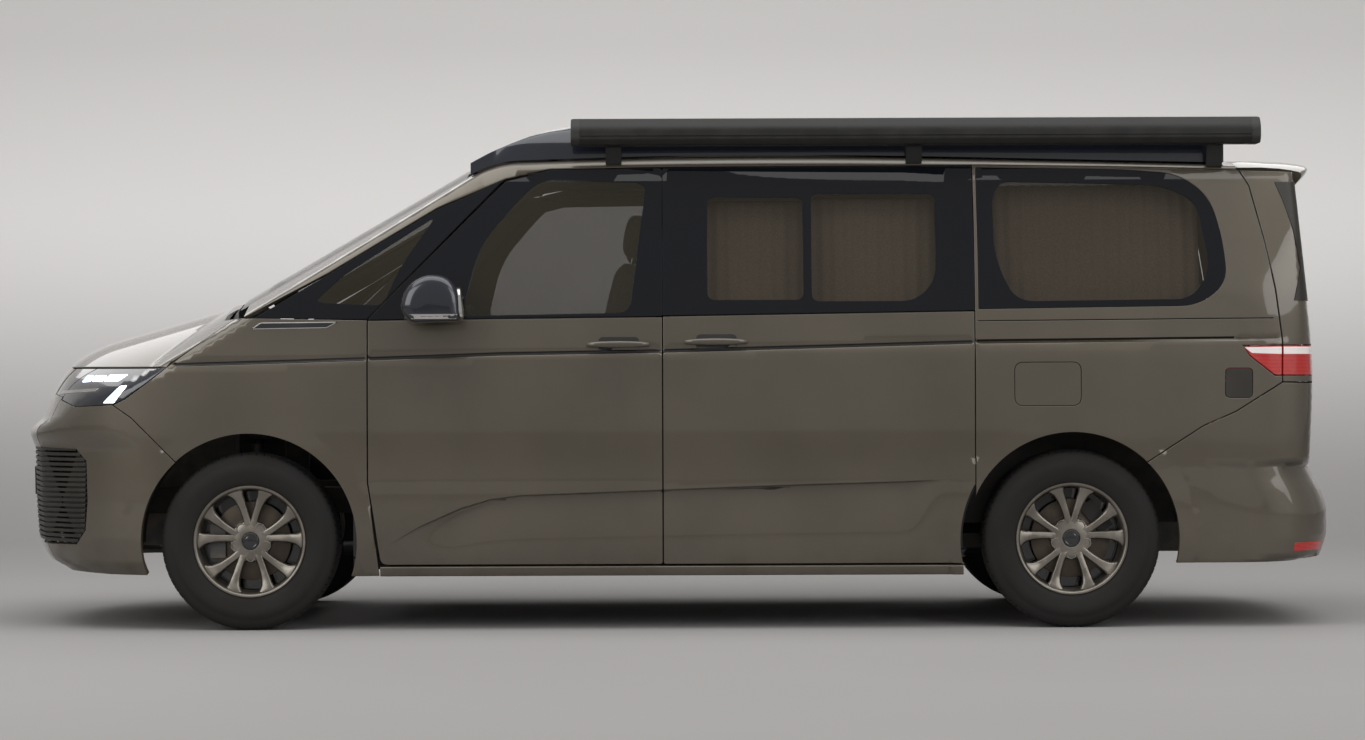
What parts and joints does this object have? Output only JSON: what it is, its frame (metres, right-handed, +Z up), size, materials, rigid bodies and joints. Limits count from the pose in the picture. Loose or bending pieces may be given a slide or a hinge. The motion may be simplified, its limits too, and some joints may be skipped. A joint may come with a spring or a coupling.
{
  "type": "camper van",
  "caption": "Camper van with pop-up roof, side awning, front doors, sliding side doors, tailgate, bonnet, steered front wheels and furnished cabin.",
  "frame": {"origin": "on the floor under the middle of the bounding box", "axes": "+X to the tail, +Z up, the left side toward -Y"},
  "size_m": [5.162, 2.281, 1.9759],
  "materials": {
    "paint": "warm dark taupe metallic paint under clear coat",
    "gloss_black": "gloss blue-black painted shell",
    "black_plastic": "grained black moulding",
    "awning_case": "anthracite powder-coated extrusion",
    "dark_glass": "dark tinted safety glass with a black border",
    "clear_glass": "laminated glass with a light tint",
    "lamp_clear": "clear lens over dark bezel",
    "lamp_red": "red lens",
    "alloy": "warm silver painted cast wheel",
    "tyre": "black rubber tyre",
    "chassis_steel": "black painted pressed steel",
    "cast_metal": "raw cast iron",
    "underbody": "underseal over painted steel",
    "cabin_plastic": "soft grained moulding",
    "seat_fabric": "woven grey seat cloth",
    "furniture": "laminated light board",
    "canvas": "grey tent canvas"
  },
  "bodies": {
    "root": {"awning": "awning_case", "body_side_left": "paint", "body_side_right": "paint", "cowl": "black_plastic", "dashboard": "cabin_plastic", "engine_block": "cast_metal", "exhaust": "chassis_steel", "floor_pan": "underbody", "front_bumper": "paint", "front_grille": "black_plastic", "front_seats": "seat_fabric", "front_subframe": "chassis_steel", "front_wings": "paint", "fuel_tank": "black_plastic", "headlamps": "lamp_clear", "kitchen_unit": "furniture", "rear_axle": "chassis_steel", "rear_bumper": "paint", "rear_seats": "seat_fabric", "roof_canvas": "canvas", "roof_panel": "paint", "side_glass": "dark_glass", "sliding_door_glass": "dark_glass", "sliding_door_left": "paint", "sliding_door_right": "paint", "tail_lamps": "lamp_red", "wheel_arch_liners": "black_plastic", "windscreen": "clear_glass"},
    "front_door_left": {"front_door_left": "paint", "front_door_glass_left": "dark_glass", "mirror_left": "gloss_black"},
    "front_door_right": {"front_door_right": "paint", "front_door_glass_right": "dark_glass", "mirror_right": "gloss_black"},
    "bonnet": {"bonnet": "paint"},
    "tailgate": {"tailgate": "paint", "tailgate_glass": "dark_glass", "tailgate_lamps": "lamp_red"},
    "popup_roof": {"popup_roof": "gloss_black"},
    "knuckle_left": {"knuckle_left": "cast_metal"},
    "knuckle_right": {"knuckle_right": "cast_metal"},
    "steering_wheel": {"steering_wheel": "cabin_plastic"},
    "wheel_front_left": {"rim_front_left": "alloy", "tyre_front_left": "tyre"},
    "wheel_front_right": {"rim_front_right": "alloy", "tyre_front_right": "tyre"},
    "wheel_rear_left": {"rim_rear_left": "alloy", "tyre_rear_left": "tyre"},
    "wheel_rear_right": {"rim_rear_right": "alloy", "tyre_rear_right": "tyre"}
  },
  "joints": [
    {"name": "front_door_left_hinge", "type": "hinge", "parent": "root", "child": "front_door_left", "pos_m": [-1.1635, -0.9705, 0.9], "axis": [0, 0, -1], "range_deg": [0, 66]},
    {"name": "front_door_right_hinge", "type": "hinge", "parent": "root", "child": "front_door_right", "pos_m": [-1.1635, 0.9705, 0.9], "axis": [0, 0, 1], "range_deg": [0, 66]},
    {"name": "bonnet_hinge", "type": "hinge", "parent": "root", "child": "bonnet", "pos_m": [-1.6805, 0, 1.255], "axis": [0, 1, 0], "range_deg": [0, 48]},
    {"name": "tailgate_hinge", "type": "hinge", "parent": "root", "child": "tailgate", "pos_m": [2.1505, 0, 1.812], "axis": [0, -1, 0], "range_deg": [0, 82]},
    {"name": "popup_roof_hinge", "type": "hinge", "parent": "root", "child": "popup_roof", "pos_m": [2.1065, 0, 1.8], "axis": [0, 1, 0], "range_deg": [0, 20]},
    {"name": "steer_left", "type": "hinge", "parent": "root", "child": "knuckle_left", "pos_m": [-1.6215, -0.76, 0.2], "axis": [0, 0.225, 0.9744], "range_deg": [-32, 32]},
    {"name": "steer_right", "type": "hinge", "parent": "root", "child": "knuckle_right", "pos_m": [-1.6215, 0.76, 0.2], "axis": [0, -0.225, 0.9744], "range_deg": [-32, 32]},
    {"name": "steering_wheel_turn", "type": "hinge", "parent": "root", "child": "steering_wheel", "pos_m": [-0.7395, -0.41, 1.075], "axis": [0.8829, 0, 0.4695], "range_deg": [-448, 448]},
    {"name": "wheel_front_left_spin", "type": "hinge", "parent": "knuckle_left", "child": "wheel_front_left", "pos_m": [-1.6215, -0.822, 0.338], "axis": [0, 1, 0], "continuous": true},
    {"name": "wheel_front_right_spin", "type": "hinge", "parent": "knuckle_right", "child": "wheel_front_right", "pos_m": [-1.6215, 0.822, 0.338], "axis": [0, 1, 0], "continuous": true},
    {"name": "wheel_rear_left_spin", "type": "hinge", "parent": "root", "child": "wheel_rear_left", "pos_m": [1.5025, -0.822, 0.338], "axis": [0, 1, 0], "continuous": true},
    {"name": "wheel_rear_right_spin", "type": "hinge", "parent": "root", "child": "wheel_rear_right", "pos_m": [1.5025, 0.822, 0.338], "axis": [0, 1, 0], "continuous": true}
  ],
  "couplings": [
    {"joint": "steer_right", "follows": "steer_left", "ratio": 1},
    {"joint": "steering_wheel_turn", "follows": "steer_left", "ratio": 14}
  ]
}
